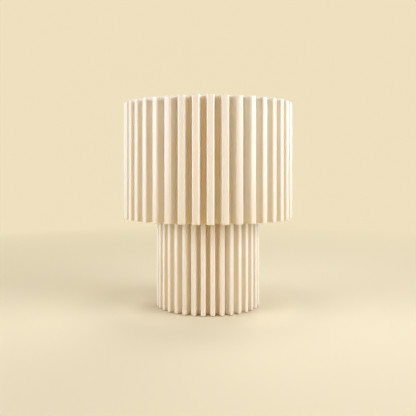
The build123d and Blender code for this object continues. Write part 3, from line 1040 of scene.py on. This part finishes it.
def build_globe():
    """Opal ball of the bulb, open where it sits on the housing."""
    low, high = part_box("bulb_globe")
    radius = frame_radius("bulb_globe")
    centre = high.z - radius
    start = atan2(low.z - centre, frame_radius("bulb_housing"))
    angles = [start + (pi / 2 - start) * i / GLOBE_STEPS for i in range(GLOBE_STEPS + 1)]
    outer = [ring(max(radius * cos(angle), 0), centre + radius * sin(angle)) for angle in angles]
    inner = []
    core = radius - GLOBE_WALL
    for angle in reversed(angles):
        height = max(centre + core * sin(angle), low.z)
        inner.append(ring(max(core * cos(angle), 0), height))
    bm = bmesh.new()
    skin(bm, outer + inner)
    return to_object("bulb_ball", bm)


def build_housing():
    """Flared cup from the screw cap to the globe, with a ledge inside for the plate of chips."""
    low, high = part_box("bulb_housing")
    rim = frame_radius("bulb_housing")
    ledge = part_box("bulb_led_plate")[0].z
    collar = low.z + HOUSING_COLLAR
    inside = rim - HOUSING_WALL
    edge = HOUSING_EDGE
    bm = bmesh.new()
    lathe(
        bm,
        (
            (HOUSING_NECK - HOUSING_WALL, low.z),
            (HOUSING_NECK, low.z),
            (HOUSING_NECK, collar),
            (rim, high.z - HOUSING_BAND),
            (rim, high.z),
            (inside, high.z),
            (inside, ledge),
            (inside - HOUSING_LEDGE, ledge),
            (HOUSING_NECK - HOUSING_WALL, collar),
        ),
        (0, edge, HOUSING_ROUND, HOUSING_ROUND, edge, edge, 0, 0, 0),
    )
    return to_object("bulb_cone", bm)


# Stage

FLOOR_REACH = 2.6
FLOOR_NEAR = 0.6
FLOOR_BEND = 1.2
BEND_STEPS = 24
WALL_HEIGHT = 2.4
FLOOR_ROUGHNESS = 0.9

# Share of even light in the floor as the camera sees it, and the distances over which it grows
EVEN_SHARE = (0.05, 1.0)
EVEN_SPAN = (0.15, 0.9)

# Place that the lamps face, and the spread of light through their grids
AIM = (0, 0, 0.13)
GRID = radians(110)

# Width of the camera's sensor in millimetres, and the nearest distance that it sees
SENSOR = 36.0
NEAREST = 0.01


def around(azimuth, distance, height):
    """A place at an angle from the front, towards +X, round the axis of the lamp."""
    angle = FRONT + radians(azimuth)
    return (distance * cos(angle), distance * sin(angle), height)


# Name, place, width and height, power and colour of each lamp
SOFTBOXES = (
    ("key_softbox", around(63, 1.1, 0.46), (0.85, 0.95), "key_power", "side_tint"),
    ("fill_softbox", around(-69, 1.1, 0.36), (1.0, 0.75), "fill_power", "side_tint"),
    ("rear_softbox", around(158, 2.0, 0.6), (1.2, 0.9), "rear_power", "rear_tint"),
    ("top_softbox", around(180, 0.1, 1.7), (0.9, 0.9), "top_power", "rear_tint"),
    ("front_light", around(0, 1.4, 0.3), (1.2, 0.5), "front_power", "front_tint"),
)


def build_floor(stage):
    """Round floor that runs up into a wall in one sweep, alike from every side."""
    line = [Vector((0, 0)), Vector((FLOOR_NEAR, 0))]
    foot = Vector((FLOOR_REACH, 0))
    top = Vector((FLOOR_REACH, WALL_HEIGHT))
    line += round_corner(line[0], foot, top, FLOOR_BEND, BEND_STEPS)
    line.append(top)
    bm = bmesh.new()
    skin(bm, [ring(radius, height) for radius, height in line], closed=False)
    floor = to_object("floor_sweep", bm)
    floor.data.materials.append(floor_paint(stage))


def floor_paint(stage):
    """Matt paint that keeps the shadow near the lamp, and is even further out where the camera sees it."""
    look = Finish("floor_paint", stage.floor, FLOOR_ROUGHNESS)
    path = look.node("ShaderNodeLightPath")
    seen = path.outputs["Is Camera Ray"]
    for kind in ("Is Glossy Ray", "Is Transmission Ray"):
        seen = look.node("ShaderNodeMath", {0: seen, 1: path.outputs[kind]}, operation="MAXIMUM").outputs[0]
    look.mix_tint(seen, stage.bounce, stage.floor)
    away = look.node("ShaderNodeVectorMath", {0: look.coords}, operation="LENGTH").outputs["Value"]
    share = look.levels(away, *EVEN_SHARE, *EVEN_SPAN)
    share = look.node("ShaderNodeMath", {0: seen, 1: share}, operation="MULTIPLY").outputs[0]
    even = look.node("ShaderNodeEmission", {"Color": (*stage.floor, 1.0), "Strength": stage.backdrop})
    mixed = look.node("ShaderNodeMixShader", {0: share, 1: look.shader.outputs[0], 2: even.outputs[0]})
    look.tree.links.new(mixed.outputs[0], look.tree.nodes["Material Output"].inputs["Surface"])
    return look.material


def build_lights(stage):
    """Softboxes on both sides, behind and over the lamp, a weak warm light in front and an even sky."""
    for name, place, size, watts, tint in SOFTBOXES:
        data = bpy.data.lights.new(name, "AREA")
        data.shape = "RECTANGLE"
        data.size, data.size_y = size
        data.energy = getattr(stage, watts)
        data.color = getattr(stage, tint)
        data.spread = GRID
        lamp = bpy.data.objects.new(name, data)
        lamp.location = place
        lamp.rotation_euler = (Vector(AIM) - Vector(place)).to_track_quat("-Z", "Y").to_euler()
        lamp.visible_camera = False
        bpy.context.scene.collection.objects.link(lamp)
    world = bpy.data.worlds.new("studio")
    world.use_nodes = True
    background = world.node_tree.nodes["Background"]
    background.inputs["Color"].default_value = (*stage.sky_tint, 1.0)
    background.inputs["Strength"].default_value = stage.sky
    bpy.context.scene.world = world


def build_camera(stage):
    """Level camera with a falling lens, as the photograph was taken."""
    data = bpy.data.cameras.new("camera")
    data.lens = stage.lens
    data.sensor_width = SENSOR
    data.shift_y = stage.shift
    data.clip_start = NEAREST
    data.dof.use_dof = False
    camera = bpy.data.objects.new("camera", data)
    camera.location = (0, -stage.distance, stage.height)
    camera.rotation_euler = (pi / 2, 0, 0)
    bpy.context.scene.collection.objects.link(camera)
    bpy.context.scene.camera = camera


# Operators


class LAMP_OT_shade(Operator):
    """Build the ribbed shade with its lugs"""

    bl_idname = "lamp.shade"
    bl_label = "Shade"

    def execute(self, context):
        dress(build_shade(context.scene.ribbed_lamp.shade), "shade_shell", ivory_plastic())
        return {"FINISHED"}


class LAMP_OT_base(Operator):
    """Build the ribbed base with its deck, collar and cord inlet"""

    bl_idname = "lamp.base"
    bl_label = "Base"

    def execute(self, context):
        dress(build_base(context.scene.ribbed_lamp.base), "base_shell", ivory_plastic())
        return {"FINISHED"}


class LAMP_OT_carrier(Operator):
    """Build the carrier of the shade"""

    bl_idname = "lamp.carrier"
    bl_label = "Shade carrier"

    def execute(self, context):
        dress(softened("carrier_spider", "shade_carrier", SHEET_EDGE), "shade_carrier", white_powder())
        return {"FINISHED"}


class LAMP_OT_screws(Operator):
    """Build all the screws"""

    bl_idname = "lamp.screws"
    bl_label = "Screws"

    def execute(self, context):
        for node in SCREWS:
            dress(build_screws(node), node, zinc_plate())
        return {"FINISHED"}


class LAMP_OT_underside(Operator):
    """Build the bottom plate, the feet, the weight and the cord grommet"""

    bl_idname = "lamp.underside"
    bl_label = "Underside"

    def execute(self, context):
        dress(softened("bottom_disc", "base_plate", FINE_EDGE), "base_plate", black_powder())
        dress(build_feet(), "rubber_feet", black_rubber())
        dress(softened("cast_disc", "ballast_weight", CAST_EDGE), "ballast_weight", cast_weight())
        dress(build_grommet(), "cord_grommet", black_rubber())
        return {"FINISHED"}


class LAMP_OT_lampholder(Operator):
    """Build the lampholder with its clamp rings and contacts"""

    bl_idname = "lamp.lampholder"
    bl_label = "Lampholder"

    def execute(self, context):
        dress(build_holder(), "lampholder_body", moulded_holder())
        dress(build_screw_shell(), "screw_shell", brass_sheet())
        dress(softened("holder_cup", "lampholder_cap", FINE_EDGE), "lampholder_cap", moulded_holder())
        dress(softened("upper_ring", "upper_clamp_ring", FINE_EDGE), "upper_clamp_ring", moulded_holder())
        dress(softened("lower_ring", "lower_clamp_ring", FINE_EDGE), "lower_clamp_ring", moulded_holder())
        dress(softened("ceramic_disc", "contact_carrier", SHEET_EDGE), "contact_carrier", steatite())
        paint("centre_contact", brass_sheet())
        return {"FINISHED"}


class LAMP_OT_bulb(Operator):
    """Build the bulb"""

    bl_idname = "lamp.bulb"
    bl_label = "Bulb"

    def execute(self, context):
        dress(build_globe(), "bulb_globe", opal_globe())
        dress(build_housing(), "bulb_housing", bulb_housing_plastic())
        dress(build_bulb_cap(), "bulb_screw_cap", nickel_plate())
        dress(softened("glass_cone", "bulb_insulator", FINE_EDGE), "bulb_insulator", black_glass())
        paint("bulb_contact", solder())
        paint("bulb_led_plate", white_mask())
        paint("bulb_driver_board", green_mask())
        return {"FINISHED"}


class LAMP_OT_stage(Operator):
    """Build the floor, the lights and the camera"""

    bl_idname = "lamp.stage"
    bl_label = "Stage"

    def execute(self, context):
        stage = context.scene.ribbed_lamp.stage
        build_floor(stage)
        build_lights(stage)
        build_camera(stage)
        context.scene.view_settings.view_transform = "Standard"
        return {"FINISHED"}


OPERATORS = (
    LAMP_OT_shade,
    LAMP_OT_base,
    LAMP_OT_carrier,
    LAMP_OT_screws,
    LAMP_OT_underside,
    LAMP_OT_lampholder,
    LAMP_OT_bulb,
    LAMP_OT_stage,
)


class LAMP_PT_panel(Panel):
    """Sidebar panel of the lamp"""

    bl_idname = "LAMP_PT_panel"
    bl_label = "Ribbed lamp"
    bl_space_type = "VIEW_3D"
    bl_region_type = "UI"
    bl_category = "Lamp"

    def draw(self, context):
        settings = context.scene.ribbed_lamp
        for group in (settings.shade, settings.base, settings.finish, settings.stage):
            box = self.layout.box()
            for name in group.bl_rna.properties.keys():
                if name not in ("rna_type", "name"):
                    box.prop(group, name)
        for operator in OPERATORS:
            self.layout.operator(operator.bl_idname)


CLASSES = (
    ShadeSettings,
    BaseSettings,
    FinishSettings,
    StageSettings,
    LampSettings,
    *OPERATORS,
    LAMP_PT_panel,
)


def register():
    """Adds the classes and the settings."""
    for cls in CLASSES:
        bpy.utils.register_class(cls)
    bpy.types.Scene.ribbed_lamp = PointerProperty(type=LampSettings)


def unregister():
    """Takes the settings and the classes away."""
    del bpy.types.Scene.ribbed_lamp
    for cls in reversed(CLASSES):
        bpy.utils.unregister_class(cls)


def main():
    """Builds the lamp and its stage."""
    register()
    bpy.ops.lamp.shade()
    bpy.ops.lamp.base()
    bpy.ops.lamp.carrier()
    bpy.ops.lamp.screws()
    bpy.ops.lamp.underside()
    bpy.ops.lamp.lampholder()
    bpy.ops.lamp.bulb()
    bpy.ops.lamp.stage()


if __name__ == "__main__":
    main()
